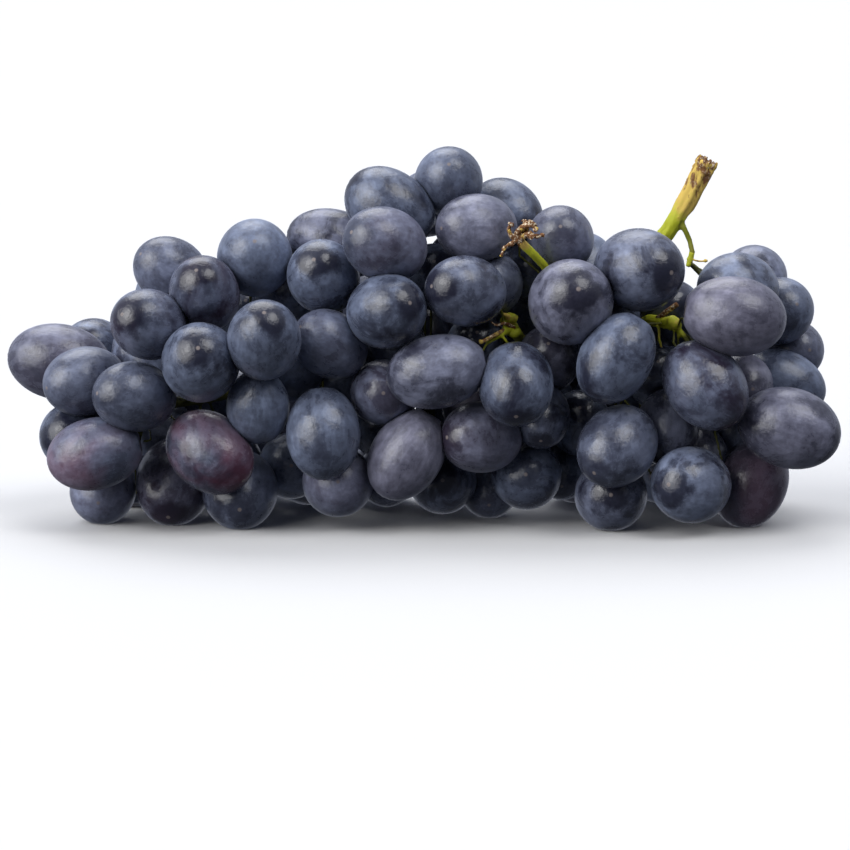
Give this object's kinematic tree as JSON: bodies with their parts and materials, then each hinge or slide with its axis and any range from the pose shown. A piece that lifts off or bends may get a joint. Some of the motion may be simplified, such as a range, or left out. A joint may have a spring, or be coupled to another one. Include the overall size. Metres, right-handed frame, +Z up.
{
  "type": "bunch of grapes",
  "caption": "Bunch of black grapes lying on its side: oval berries packed round a branched green stalk, with its cut stem standing up at one end.",
  "frame": {"origin": "middle of the underside of the bunch, on the surface that it lies on", "axes": "+Z up; +X along the bunch, from its tip to the shoulder with the cut stem; -Y is the side that the picture shows"},
  "size_m": [0.2115, 0.0943, 0.0959],
  "materials": {
    "grape_skin": "dark blue-black skin with a grey-blue waxy bloom, rubbed dark and glossy in patches",
    "stalk": "yellow-green stem, ochre and streaked brown towards the rough dry cut end"
  },
  "bodies": {
    "root": {"stalk": "stalk", "berries_tip": "grape_skin", "berries_tip_low": "grape_skin", "berries_left": "grape_skin", "berries_crest": "grape_skin", "berries_crown": "grape_skin", "berries_middle": "grape_skin", "berries_low": "grape_skin", "berries_right": "grape_skin", "berries_right_low": "grape_skin", "berries_shoulder": "grape_skin", "berries_far_tip": "grape_skin", "berries_far_left": "grape_skin", "berries_far_middle": "grape_skin", "berries_far_right": "grape_skin", "berries_far_shoulder": "grape_skin"}
  },
  "joints": []
}
